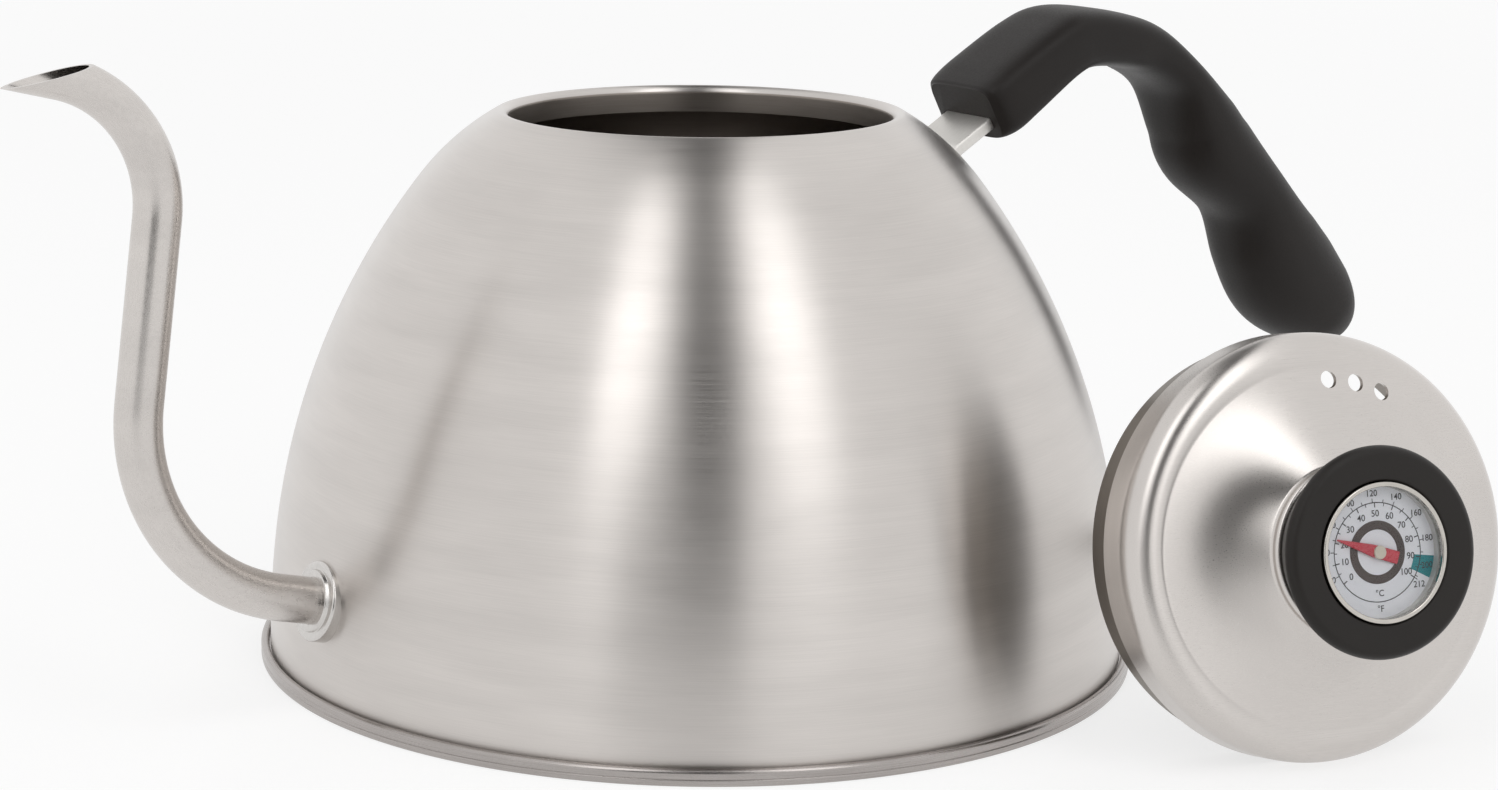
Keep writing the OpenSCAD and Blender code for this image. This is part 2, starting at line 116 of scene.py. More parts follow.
# ---------------------------------------------------------------- paths
# A path point is (x, z, heading). A positive radius and turn bend the path to the left.
def ahead(p, length):
    return (p[0] + length * cos(p[2]), p[1] + length * sin(p[2]), p[2])


def bend(p, r, turn):
    heading = p[2] + turn
    return (p[0] + r * (sin(heading) - sin(p[2])), p[1] - r * (cos(heading) - cos(p[2])), heading)


def run(p, r, turn, steps):
    """The points of a bend, without its first."""
    return [bend(p, r, turn * i / steps) for i in range(1, steps + 1)]


def aside(p, distance):
    """A path point moved sideways: positive to the left of its heading."""
    return (p[0] - distance * sin(p[2]), p[1] + distance * cos(p[2]), p[2])


def flat(path):
    return [(p[0], p[1]) for p in path]


CORNER_STEPS, CORNER_SHARE = 6, 0.49


def corner(before, at, after, r):
    """Points of a small arc that rounds a corner, cut down where a side is too short for it."""
    back, on = Vector(before) - Vector(at), Vector(after) - Vector(at)
    u, v = back.normalized(), on.normalized()
    half = math.acos(max(-1, min(1, u.dot(v)))) / 2
    cut = min(r / math.tan(half), back.length * CORNER_SHARE, on.length * CORNER_SHARE)
    r = cut * math.tan(half)
    middle = Vector(at) + (u + v).normalized() * (r / math.sin(half))
    first, last = Vector(at) + u * cut - middle, Vector(at) + v * cut - middle
    points = []
    for i in range(CORNER_STEPS + 1):
        share = i / CORNER_STEPS
        spoke = (first * (1 - share) + last * share).normalized() * r
        points.append((middle.x + spoke.x, middle.y + spoke.y))
    return points


def rounded(corners):
    """A closed outline from corners (x, y, radius), each rounded by its own radius."""
    points = []
    for i, (x, y, r) in enumerate(corners):
        if r > 0:
            points += corner(corners[i - 1][:2], (x, y), corners[(i + 1) % len(corners)][:2], r)
        else:
            points.append((x, y))
    return points


# ---------------------------------------------------------------- mesh builders
def add_object(name, data, matrix=None):
    ob = bpy.data.objects.new(name, data)
    bpy.context.scene.collection.objects.link(ob)
    if matrix is not None:
        ob.matrix_world = matrix
    return ob


def new_object(name, verts, faces, matrix=None):
    """An object from vertices in metres."""
    mesh = bpy.data.meshes.new(name)
    mesh.from_pydata(verts, [], faces)
    mesh.validate()
    mesh.update()
    return add_object(name, mesh, matrix)


def face_outwards(ob):
    bm = bmesh.new()
    bm.from_mesh(ob.data)
    bmesh.ops.recalc_face_normals(bm, faces=bm.faces)
    bm.to_mesh(ob.data)
    bm.free()
    return ob


def smooth(ob, sharp_angle=35):
    for face in ob.data.polygons:
        face.use_smooth = True
    ob.data.set_sharp_from_angle(angle=math.radians(sharp_angle))
    return ob


def lathe(name, profile, sides, matrix=None, closed=True):
    """Turns a profile of (radius, height) round local Z."""
    verts, faces, index = [], [], []
    for r, z in profile:
        if r < 1e-6:
            index.append([len(verts)] * sides)
            verts.append((0, 0, z * MM))
        else:
            index.append(list(range(len(verts), len(verts) + sides)))
            for k in range(sides):
                a = 2 * math.pi * k / sides
                verts.append((r * MM * math.cos(a), r * MM * math.sin(a), z * MM))
    for i in range(len(profile) if closed else len(profile) - 1):
        low, high = index[i], index[(i + 1) % len(profile)]
        for k in range(sides):
            quad = [low[k], low[(k + 1) % sides], high[(k + 1) % sides], high[k]]
            face = [v for j, v in enumerate(quad) if v not in quad[:j]]
            if len(face) > 2:
                faces.append(face)
    return smooth(face_outwards(new_object(name, verts, faces, matrix)))


def rod(r, low, high):
    """The profile of a solid round bar, for an open lathe."""
    return [(0, low), (r, low), (r, high), (0, high)]


def skin(name, rings, looped=False, sharp_angle=35):
    """Joins rings that have the same number of points each. A looped skin joins its last ring
    to its first instead of capping both."""
    n, m = len(rings[0]), len(rings)
    verts = [(p[0] * MM, p[1] * MM, p[2] * MM) for ring in rings for p in ring]
    faces = []
    for i in range(m if looped else m - 1):
        for j in range(n):
            k, above = (j + 1) % n, ((i + 1) % m) * n
            faces.append((i * n + j, i * n + k, above + k, above + j))
    if not looped:
        faces.append(tuple(range(n)))
        faces.append(tuple(reversed(range((m - 1) * n, m * n))))
    return smooth(face_outwards(new_object(name, verts, faces)), sharp_angle)


def block(name, low, high, matrix):
    """A box between two corners, to cut with."""
    x, y, z = [(a * MM, b * MM) for a, b in zip(low, high)]
    verts = [(a, b, c) for a in x for b in y for c in z]
    faces = [(0, 1, 3, 2), (4, 6, 7, 5), (0, 4, 5, 1), (2, 3, 7, 6), (0, 2, 6, 4), (1, 5, 7, 3)]
    return face_outwards(new_object(name, verts, faces, matrix))


def finished_mesh(ob):
    """A new mesh with the object's modifiers applied, or with its text filled in."""
    bpy.context.view_layer.update()
    return bpy.data.meshes.new_from_object(ob.evaluated_get(bpy.context.evaluated_depsgraph_get()))


def subtract(ob, tools, sharp_angle=35):
    """Cuts tools out of an object and removes them."""
    for tool in tools:
        cut = ob.modifiers.new("cut", "BOOLEAN")
        cut.operation, cut.solver, cut.object = "DIFFERENCE", "EXACT", tool
    mesh = finished_mesh(ob)
    ob.modifiers.clear()
    ob.data = mesh
    for tool in tools:
        bpy.data.objects.remove(tool)
    return smooth(ob, sharp_angle)


def paint(ob, mat):
    """Gives an object one material, and leaves its mesh alone."""
    ob.data.materials.clear()
    ob.data.materials.append(mat)


def give(ob, body, slot, mat, *replaced):
    """Gives a finished piece its body, material and the nodes that it stands for. Its slot is not used.
    """
    paint(ob, mat)
    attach(ob, body)
    if replaced:
        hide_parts(*replaced)


def middle_plane(x, z, lean):
    """A place in the kettle's middle plane, with its axis leaning towards the spout."""
    return Matrix.Translation((x * MM, 0, z * MM)) @ Matrix.Rotation(math.radians(-lean), 4, "Y")


# ---------------------------------------------------------------- material builders
# Sockets of a Mix node that mixes colours.
MIX_FACTOR, MIX_FIRST, MIX_SECOND, MIX_RESULT = 0, 6, 7, 2


class Material:
    """A Principled material built from noise in the piece's own coordinates."""

    def __init__(self, name):
        self.material = bpy.data.materials.new(name)
        self.material.use_nodes = True
        self.tree = self.material.node_tree
        self.principled = self.tree.nodes["Principled BSDF"]
        self.coordinates = self.tree.nodes.new("ShaderNodeTexCoord").outputs["Object"]

    def put(self, value, socket):
        """Links a node's output to a socket, or sets the socket to a constant."""
        if isinstance(value, bpy.types.NodeSocket):
            self.tree.links.new(value, socket)
        else:
            socket.default_value = value

    def add(self, kind, **inputs):
        node = self.tree.nodes.new(kind)
        for name, value in inputs.items():
            self.put(value, node.inputs[name])
        return node

    def surface(self, **inputs):
        """Sets or links the shader's own sockets; an underscore stands for a space."""
        for name, value in inputs.items():
            self.put(value, self.principled.inputs[name.replace("_", " ")])

    def noise(self, fineness, detail, rough, distortion=0.0):
        """Noise with its fineness along local x, y and z, in cells per metre."""
        place = self.add("ShaderNodeMapping", Vector=self.coordinates, Scale=fineness)
        node = self.add("ShaderNodeTexNoise", Vector=place.outputs[0], Scale=1.0, Detail=detail,
                        Roughness=rough, Distortion=distortion)
        return node.outputs["Fac"]

    def span(self, factor, low, high, start=0.3, end=0.7):
        """Maps a factor's range start..end to low..high."""
        limits = {"From Min": start, "From Max": end, "To Min": low, "To Max": high}
        return self.add("ShaderNodeMapRange", Value=factor, **limits).outputs[0]

    def mix(self, factor, first, second):
        node = self.tree.nodes.new("ShaderNodeMix")
        node.data_type = "RGBA"
        self.put(factor, node.inputs[MIX_FACTOR])
        self.put((*first, 1), node.inputs[MIX_FIRST])
        self.put((*second, 1), node.inputs[MIX_SECOND])
        return node.outputs[MIX_RESULT]

    def math(self, operation, a, b):
        node = self.tree.nodes.new("ShaderNodeMath")
        node.operation = operation
        self.put(a, node.inputs[0])
        self.put(b, node.inputs[1])
        return node.outputs[0]

    def bump(self, height, strength, distance):
        node = self.add("ShaderNodeBump", Strength=strength, Distance=distance, Height=height)
        self.surface(Normal=node.outputs[0])


def brushed(name, light, dark, rough, aniso, lines, grain="round", bump=0.12):
    """Steel with fine lines: 'lines' is how fast they change along local x, y and z. The grain
    runs round local Z, straight along local X, or nowhere in particular."""
    stray = 0.045
    m = Material(name)
    fine = m.noise(lines, 6.0, 0.7)
    broad = m.noise((30, 30, 180), 3.0, 0.5, 0.3)
    smudge = m.noise((22, 22, 22), 2.0, 0.5, 0.6)
    tone = m.math("ADD", m.math("MULTIPLY", fine, 0.6), m.math("MULTIPLY", broad, 0.4))
    streak = m.span(fine, rough - stray, rough + stray)
    m.surface(Base_Color=m.mix(m.span(tone, 0.0, 1.0, 0.35, 0.65), dark, light), Metallic=1.0,
              Roughness=m.math("ADD", streak, m.span(smudge, -0.015, 0.03)), Anisotropic=aniso)
    if grain == "round":
        tangent = m.add("ShaderNodeTangent")
        tangent.direction_type, tangent.axis = "RADIAL", "Z"
        m.surface(Tangent=tangent.outputs[0], Anisotropic_Rotation=0.25)
    if grain == "straight":
        tangent = m.add("ShaderNodeVectorTransform", Vector=(0, 1, 0))
        tangent.vector_type, tangent.convert_from, tangent.convert_to = "VECTOR", "OBJECT", "WORLD"
        m.surface(Tangent=tangent.outputs[0])
    m.bump(fine, bump, 0.00004)
    return m.material


def soft_black(name, first, second, rough):
    """Moulded black with a fine tooth and a faint bloom."""
    m = Material(name)
    tooth = m.noise((2600, 2600, 2600), 3.0, 0.6)
    bloom = m.noise((28, 28, 28), 4.0, 0.55, 0.4)
    uneven = m.math("ADD", m.span(tooth, rough - 0.05, rough + 0.05), m.span(bloom, -0.04, 0.04))
    m.surface(Base_Color=m.mix(m.span(bloom, 0, 1), first, second), Metallic=0.0, Roughness=uneven,
              Specular_IOR_Level=0.26, Sheen_Weight=0.03, Sheen_Roughness=0.5)
    m.bump(tooth, 0.25, 0.00006)
    return m.material


def printed(name, first, second, rough, coat=0.0):
    """Enamel, ink or rubber in two close tones."""
    m = Material(name)
    tooth = m.noise((1500, 1500, 1500), 3.0, 0.6)
    cloud = m.noise((180, 180, 180), 3.0, 0.5)
    m.surface(Base_Color=m.mix(m.span(cloud, 0, 1), first, second), Metallic=0.0,
              Roughness=m.span(tooth, rough - 0.06, rough + 0.06), Coat_Weight=coat)
    m.bump(tooth, 0.08, 0.00003)
    return m.material


def clear_glass(name):
    """A thin pane that lets light straight through and shines by its Fresnel share."""
    m = Material(name)
    m.tree.nodes.remove(m.principled)
    smear = m.noise((90, 90, 90), 3.0, 0.5, 0.5)
    see = m.add("ShaderNodeBsdfTransparent", Color=(0.99, 0.992, 0.998, 1))
    gloss = m.add("ShaderNodeBsdfGlossy", Color=(1, 1, 1, 1), Roughness=m.span(smear, 0.01, 0.06))
    fresnel = m.add("ShaderNodeFresnel", IOR=1.22)
    both = m.tree.nodes.new("ShaderNodeMixShader")
    for socket, source in enumerate((fresnel, see, gloss)):
        m.put(source.outputs[0], both.inputs[socket])
    m.put(both.outputs[0], m.tree.nodes["Material Output"].inputs["Surface"])
    return m.material


# ---------------------------------------------------------------- the kettle's materials
STEEL_LIGHT, STEEL_DARK = (0.665, 0.630, 0.602), (0.575, 0.545, 0.521)
body_mat = brushed("body_brushed", STEEL_LIGHT, STEEL_DARK, 0.34, 0.84, (60, 60, 9000))
# Painted shade: the inside of the neck, a darker copy of the body's steel.
neck_painted_shade_mat = brushed("neck_inside_painted_shade", (0.34, 0.305, 0.275), (0.27, 0.24, 0.215), 0.34, 0.4, (60, 60, 7000))
# Painted shade: the base ring, a darker copy of the body's steel.
base_painted_shade_mat = brushed("base_ring_painted_shade", (0.44, 0.410, 0.395), (0.35, 0.325, 0.31), 0.27, 0.5, (80, 80, 6000))
plate_mat = brushed("heat_plate_satin", (0.60, 0.58, 0.56), (0.50, 0.48, 0.46), 0.33, 0.5,
                    (900, 900, 3000))
spout_mat = brushed("spout_satin", STEEL_LIGHT, STEEL_DARK, 0.27, 0.0, (900, 5200, 900),
                    grain="none", bump=0.08)
collar_mat = brushed("collar_satin", (0.68, 0.66, 0.64), (0.56, 0.54, 0.52), 0.22, 0.3,
                     (1200, 1200, 5000))
strap_mat = brushed("strap_satin", (0.78, 0.76, 0.73), (0.66, 0.64, 0.61), 0.44, 0.0,
                    (700, 5200, 700), grain="none", bump=0.1)
lid_mat = brushed("lid_brushed", STEEL_LIGHT, STEEL_DARK, 0.30, 0.80, (60, 7000, 7000),
                  grain="straight")
# Painted shade: the lid's inside and its plug, a darker copy of the lid's steel.
lid_inner_painted_shade_mat = brushed("lid_inside_painted_shade", (0.27, 0.242, 0.215), (0.21, 0.188, 0.165), 0.36, 0.4,
                     (60, 60, 7000))
bezel_mat = brushed("bezel_bright", (0.60, 0.57, 0.53), (0.50, 0.475, 0.44), 0.18, 0.2,
                    (400, 400, 12000), bump=0.05)
case_mat = brushed("case_satin", (0.62, 0.60, 0.58), (0.54, 0.52, 0.50), 0.24, 0.3, (300, 300, 6000))
screw_mat = brushed("screw_satin", (0.45, 0.44, 0.42), (0.36, 0.35, 0.34), 0.3, 0.0,
                    (2500, 2500, 2500), grain="none")
coil_mat = brushed("coil_dull", (0.52, 0.44, 0.32), (0.42, 0.36, 0.27), 0.38, 0.0,
                   (3000, 3000, 3000), grain="none")
bush_mat = brushed("bush_brass", (0.68, 0.50, 0.26), (0.56, 0.42, 0.22), 0.28, 0.0,
                   (3000, 3000, 6000), grain="none")
grip_mat = soft_black("grip_soft_black", (0.0095, 0.0070, 0.0060), (0.0135, 0.0102, 0.0086), 0.48)
knob_mat = soft_black("knob_soft_black", (0.0150, 0.0125, 0.0110), (0.0205, 0.0172, 0.0152), 0.46)
dial_mat = printed("dial_enamel", (0.93, 0.935, 0.96), (0.96, 0.965, 0.985), 0.42)
ink_mat = printed("dial_ink", (0.030, 0.028, 0.030), (0.055, 0.050, 0.052), 0.5)
ring_mat = printed("dial_brown_ring", (0.060, 0.042, 0.036), (0.088, 0.064, 0.054), 0.5)
teal_mat = printed("dial_teal", (0.005, 0.235, 0.255), (0.010, 0.290, 0.310), 0.45)
needle_mat = printed("needle_enamel", (0.56, 0.018, 0.040), (0.66, 0.030, 0.055), 0.3, coat=0.3)
hub_mat = printed("hub_cream", (0.72, 0.66, 0.52), (0.80, 0.75, 0.62), 0.4)
pale_mat = printed("gasket_silicone", (0.66, 0.65, 0.61), (0.74, 0.73, 0.69), 0.55)
glass_mat = clear_glass("dial_clear_glass")

# ---------------------------------------------------------------- body and base
FLOOR = PLATE_T + WALL
PLATE_R = BASE_R - FOOT_INSET - WALL
foot = (BASE_R - FOOT_INSET, FLOOR, 90)
barrel = [foot] + run(foot, BARREL_R, BARREL_TURN, 24)
flank = run(barrel[-1], FLANK_R, FLANK_TURN, 44)
crown = run(flank[-1], CROWN_R, CROWN_TURN, 26)
roll_r = (crown[-1][0] - MOUTH_R) / (1 + sin(crown[-1][2]))
roll = run(crown[-1], roll_r, 270 - crown[-1][2], 20)


def body_shell():
    """Brushed outside, with painted shade: the inside from just over the neck down is a darker steel."""
    neck_top = roll[-1][1] + 0.5
    outside = barrel + flank + crown + roll + [ahead(roll[-1], NECK_H)]
    inside = [aside(p, WALL) for p in outside]
    shell = lathe("body_shell_fine", flat(outside) + flat(reversed(inside)), 360)
    give(shell, "kettle", "body_steel", body_mat, "body_shell")
    shell.data.materials.append(neck_painted_shade_mat)
    for face in shell.data.polygons:
        at, normal = face.center, face.normal
        # Faces that look inwards, below just over the neck, get the painted shade.
        if at.x * normal.x + at.y * normal.y < 0 and at.z / MM < neck_top:
            face.material_index = 1


def base_pan():
    """A rounded ring with a fine line turned round its side, and the floor."""
    line_z, line_half, line_depth = 1.25, 0.1, 0.16
    bead_r = 0.72
    seam_r = foot[0] + SEAM_ROOM
    outline = rounded([
        (PLATE_R, PLATE_T, 0), (PLATE_R, 0, 0.15), (BASE_R, 0, 0.4), (BASE_R, line_z - line_half, 0.1),
        (BASE_R - line_depth, line_z, 0.1), (BASE_R, line_z + line_half, 0.1), (BASE_R, RING_H, bead_r),
        (seam_r, RING_H, bead_r), (seam_r, FLOOR, 0)])
    pan = lathe("base_pan_fine", [(0, PLATE_T)] + outline + [(0, FLOOR)], 360, closed=False)
    # The ring's darker steel is painted shade.
    give(pan, "kettle", "base_steel", base_painted_shade_mat, "base_pan")


def heat_plate():
    """A disc with shallow rings pressed into its underside."""
    rings, first_r, pitch, depth = 9, 12, 8, 0.22
    edge_r = PLATE_R - 0.05
    profile = [(0, 0)]
    for k in range(rings):
        r = first_r + pitch * k
        profile += [(r, 0), (r + 0.5, depth), (r + 1.0, depth), (r + 1.5, 0)]
    profile += rounded([(0, 0, 0), (edge_r, 0, 0.2), (edge_r, PLATE_T, 0.1), (0, PLATE_T, 0)])[1:]
    plate = lathe("heat_plate_fine", profile, 256, closed=False)
    give(plate, "kettle", "heat_plate_steel", plate_mat, "heat_plate")


# ---------------------------------------------------------------- spout
TOP_BEND_STEPS = 40
wall_r = foot[0] - BARREL_R + math.sqrt(BARREL_R ** 2 - (SPOUT_Z - FLOOR) ** 2)
spout_root = (wall_r - ROOT_DIP, SPOUT_Z, SPOUT_RISE)
root_end = ahead(spout_root, ROOT_LEN)
riser_foot = bend(root_end, LOW_BEND_R, LOW_BEND_TURN)
riser_head = ahead(riser_foot, RISER_LEN)
beak_root = bend(riser_head, -TOP_BEND_R, -TOP_BEND_TURN)
low_bend = run(root_end, LOW_BEND_R, LOW_BEND_TURN, 44)
top_bend = run(riser_head, -TOP_BEND_R, -TOP_BEND_TURN, TOP_BEND_STEPS)
# The tube narrows over its top bend, as shares of the way from root radius to beak radius.
spout_path = [(*ahead(spout_root, -2), 0), (*root_end, 0)]
spout_path += [(*p, 0) for p in low_bend + [riser_head]]
spout_path += [(*p, (i + 1) / TOP_BEND_STEPS) for i, p in enumerate(top_bend)]
spout_path += [(*ahead(beak_root, BEAK_LEN + 0.5), 1)]


def tube_rings(inside, sides=72):
    """Rings of points round the spout's centre line, a distance inside its outer side."""
    rings = []
    for x, z, heading, share in spout_path:
        eased = share * share * (3 - 2 * share)
        r = SPOUT_R + (BEAK_R - SPOUT_R) * eased - inside
        rings.append([(-x + r * cos(a) * sin(heading), -r * sin(a), z + r * cos(a) * cos(heading))
                      for a in (360 * j / sides for j in range(sides))])
    return rings


def spout_tube():
    """The cut leaves the beak's lower lip as its furthest point."""
    cut_low, cut_high = (-20, -10, 0), (30, 10, 20)
    lip = aside(ahead(beak_root, BEAK_LEN), -BEAK_R)
    spout = skin("spout_fine", tube_rings(0) + list(reversed(tube_rings(SPOUT_WALL))), looped=True)
    subtract(spout, [block("beak_cut", cut_low, cut_high, middle_plane(-lip[0], lip[1], BEAK_SLOPE))])
    give(spout, "kettle", "spout_steel", spout_mat, "spout_tube")


def spout_collar():
    """A flange with a rounded edge and a low step round the tube."""
    under, step_r, step_h = -0.9, SPOUT_R + 1.5, 0.6
    bore_r = SPOUT_R - 0.1
    profile = rounded([
        (bore_r, under, 0), (COLLAR_R, under, 0), (COLLAR_R, COLLAR_OUT, 0.55),
        (step_r, COLLAR_OUT - 0.15, 0.15), (step_r - 0.25, COLLAR_OUT + step_h, 0.28),
        (bore_r, COLLAR_OUT + step_h, 0.2)])
    axis = middle_plane(-spout_root[0], spout_root[1], 90 - spout_root[2])
    collar = lathe("spout_collar_fine", profile, 144, axis)
    give(collar, "kettle", "spout_steel", collar_mat, "spout_collar")


# ---------------------------------------------------------------- strap and grip
flank_low = run(barrel[-1], FLANK_R, STRAP_SEAT, 40)
strap_base = aside(flank_low[-1], -STRAP_T / 2)
foot_plate = [aside(p, -STRAP_T / 2) for p in flank_low if p[1] > strap_base[1] - FOOT_PLATE_H]
strap_bend = run(strap_base, -STRAP_BEND_R, STRAP_RISE - strap_base[2], 20)
strap_out = strap_bend[-1]
grip_mouth = ahead(strap_out, STRAP_BARE)
tang_end = ahead(grip_mouth, TANG_LEN)


def slab_ring(p, width, thickness, r, steps=5):
    """A rounded rectangle square to a path point, its width across the kettle."""
    y, up = width / 2 - r, thickness / 2 - r
    points = []
    for side, top, start in ((y, up, 0), (-y, up, 90), (-y, -up, 180), (y, -up, 270)):
        for i in range(steps + 1):
            a = start + 90 * i / steps
            rise = top + r * sin(a)
            points.append((p[0] - rise * sin(p[2]), side + r * cos(a), p[1] + rise * cos(p[2])))
    return points


def handle_strap():
    """Foot plate, bend and tang in one strip with soft edges."""
    path = foot_plate + strap_bend + [grip_mouth, tang_end]
    strap = skin("strap_fine", [slab_ring(p, STRAP_W, STRAP_T, 0.55) for p in path])
    give(strap, "kettle", "strap_steel", strap_mat, "handle_strap")


def along(s):
    """The grip's values a number of stations along it, on a smooth curve through all of them."""
    i = int(math.floor(s))
    u = s - i
    a, b, c, d = [STATIONS[min(max(k, 0), len(STATIONS) - 1)] for k in (i - 1, i, i + 1, i + 2)]
    return [0.5 * (2 * q + (r - p) * u + (2 * p - 5 * q + 4 * r - t) * u * u
                   + (3 * q - p - 3 * r + t) * u ** 3)
            for p, q, r, t in zip(a, b, c, d)]


def grip_ring(s, sides=96):
    """A superellipse square to the grip's middle line."""
    end = len(STATIONS) - 1
    x, z, thick, wide, squareness = along(s)
    before, after = along(max(s - 0.05, 0)), along(min(s + 0.05, end - 0.001))
    heading = math.degrees(math.atan2(after[1] - before[1], after[0] - before[0]))

    def bulge(v):
        return math.copysign(abs(v) ** (2 / squareness), v)

    points = []
    for j in range(sides):
        a = 360 * j / sides
        up = bulge(sin(a)) * thick * GRIP_T / 2
        points.append((grip_mouth[0] + x - up * sin(heading), bulge(cos(a)) * wide * GRIP_W / 2,
                       grip_mouth[1] + z + up * cos(heading)))
    return points


def handle_grip():
    """The moulded grip, with its screw's bore below and the tang's pocket at its mouth."""
    steps, sharp_angle, room = 10, 50, 0.1
    bore_low, bore_high = -12, -3
    rings = [grip_ring(k / steps) for k in range((len(STATIONS) - 1) * steps + 1)]
    grip = skin("grip_fine", rings, sharp_angle=sharp_angle)
    seat = ahead(grip_mouth, SCREW_REACH)
    bore = lathe("screw_bore", rod(SCREW_HEAD_R, bore_low, bore_high), 64,
                 middle_plane(seat[0], seat[1], STRAP_RISE), closed=False)
    pocket = skin("strap_pocket", [slab_ring(p, STRAP_W + room, STRAP_T + room, 0.5)
                                   for p in (ahead(strap_out, STRAP_BARE - 4), tang_end)])
    subtract(grip, [bore, pocket], sharp_angle)
    give(grip, "kettle", "grip_black", grip_mat, "handle_grip")


# ---------------------------------------------------------------- lid
PLUG_R = MOUTH_R - PLUG_CLEARANCE
lid_tilt = math.degrees(math.atan((RIM_R - PLUG_R) / PLUG_DEPTH))
LID = (Matrix.Translation((LID_X * MM, -(BASE_R + LID_GAP) * MM, RIM_R * cos(lid_tilt) * MM))
       @ Matrix.Rotation(math.radians(-LID_TURN), 4, "Z")
       @ Matrix.Rotation(math.radians(90 - lid_tilt), 4, "X"))
lid_rim = (RIM_R, 0, 90)
shoulder_foot = ahead(lid_rim, LID_WALL_H)
shoulder = run(shoulder_foot, SHOULDER_R, SHOULDER_TURN, 30)
crease = run(shoulder[-1], -CREASE_R, 90 - SHOULDER_TURN - FACE_SLOPE, 10)
dish_r = (crease[-1][0] - FLARE_START_R) / (sin(DISH_SLOPE) - sin(FACE_SLOPE))
dish = run(crease[-1], -dish_r, FACE_SLOPE - DISH_SLOPE, 30)
flare = run(dish[-1], -FLARE_R, DISH_SLOPE - FLARE_SLOPE, 16)
neck_round = run(ahead(flare[-1], NECK_RISE), NECK_ROUND_R, FLARE_SLOPE, 12)
LAND = neck_round[-1][1]


def lid_shell():
    """Brushed outside with three vents, and painted shade: the inside is a darker steel."""
    outside = [lid_rim, shoulder_foot] + shoulder + crease + dish + flare + neck_round
    inside = [aside(p, WALL) for p in outside]
    profile = flat(outside) + [(BOSS_R, LAND), (BOSS_R, LAND - WALL)] + flat(reversed(inside))
    lid = lathe("lid_shell_fine", profile, 360, LID)
    cut_low, cut_high = 5, 25
    vents = []
    for i in range(3):
        place = (LID @ Matrix.Rotation(math.radians(-VENT_LEAD - VENT_STEP * i), 4, "Z")
                 @ Matrix.Translation((0, VENT_RING_R * MM, 0)))
        vents.append(lathe("vent_cut", rod(VENT_R, cut_low, cut_high), 48, place, closed=False))
    subtract(lid, vents)
    give(lid, "lid", "lid_steel", lid_mat, "lid_shell")
    lid.data.materials.append(lid_inner_painted_shade_mat)
    for face in lid.data.polygons:
        # Faces turned down, the lid's inside, get the painted shade.
        if face.normal.z < -0.05:
            face.material_index = 1


def lid_plug():
    """A band that hangs from a flange inside the rim."""
    seat, inner_r, flange_r = 2.2, PLUG_R - WALL, RIM_R - WALL
    profile = rounded([
        (PLUG_R, -PLUG_DEPTH, 0.3), (PLUG_R, seat, 0.2), (flange_r, seat, 0), (flange_r, seat + WALL, 0),
        (inner_r, seat + WALL, 0.5), (inner_r, -PLUG_DEPTH, 0.3)])
    plug = lathe("lid_plug_fine", profile, 256, LID)
    # The whole plug is in the lid's painted shade.
    give(plug, "lid", "lid_steel", lid_inner_painted_shade_mat, "lid_plug")


KNOB_TOP = LAND + KNOB_T


def knob_ring():
    """A ring whose side widens towards its face, with both edges rounded."""
    hole_r = BEZEL_R + 0.2
    side_len = (KNOB_T - KNOB_ROUND_R * (1 + cos(KNOB_SIDE))) / sin(KNOB_SIDE)
    foot_r = KNOB_R - KNOB_ROUND_R * (1 - sin(KNOB_SIDE)) - side_len * cos(KNOB_SIDE)
    knob_foot = (foot_r, LAND, KNOB_SIDE)
    edge = run(ahead(knob_foot, side_len), KNOB_ROUND_R, 180 - KNOB_SIDE, 24)
    hole_top = corner((KNOB_R - 3, KNOB_TOP), (hole_r, KNOB_TOP), (hole_r, LAND), 0.5)
    knob = lathe("knob_ring_fine", [(hole_r, LAND)] + flat([knob_foot] + edge) + hole_top, 256, LID)
    give(knob, "lid", "grip_black", knob_mat, "knob_ring")


# ---------------------------------------------------------------- thermometer
CASE_TOP = KNOB_TOP - 2.8
DIAL_TOP = CASE_TOP + DIAL_T
GLASS_BOTTOM = DIAL_TOP + GASKET_T
GLASS_TOP = GLASS_BOTTOM + GLASS_T
CASE_R, LIP_R = BEZEL_R - 0.6, BEZEL_R - 0.85


def bezel_ring():
    """A bright tube with a lip over the glass."""
    bottom, top = LAND + 1.2, GLASS_TOP + 0.6
    profile = rounded([
        (CASE_R, bottom, 0), (BEZEL_R, bottom, 0.1), (BEZEL_R, top, 0.28), (LIP_R, top, 0.26),
        (LIP_R, GLASS_TOP, 0), (CASE_R, GLASS_TOP, 0)])
    give(lathe("bezel_fine", profile, 256, LID), "lid", "bezel_steel", bezel_mat, "bezel_ring")


def dial_glass():
    pane = lathe("dial_glass_fine", rod(CASE_R, GLASS_BOTTOM, GLASS_TOP), 192, LID, closed=False)
    give(pane, "lid", "dial_glass", glass_mat, "dial_glass")


def flat_ring(name, inner_r, outer_r, low, high):
    return lathe(name, [(inner_r, low), (outer_r, low), (outer_r, high), (inner_r, high)], 192, LID)


def glass_gasket():
    gasket = flat_ring("gasket_fine", LIP_R, CASE_R, DIAL_TOP, GLASS_BOTTOM)
    give(gasket, "lid", "gasket_pale", pale_mat, "glass_gasket")


def dial_plate():
    spindle_hole_r = 1
    dial = flat_ring("dial_fine", spindle_hole_r, CASE_R, CASE_TOP, DIAL_TOP)
    give(dial, "lid", "dial_white", dial_mat, "dial_plate")


# ---------------------------------------------------------------- printing on the dial
PRINT_Z, OVERPRINT = DIAL_TOP + 0.03, 0.01
SCALE_R = 8.3


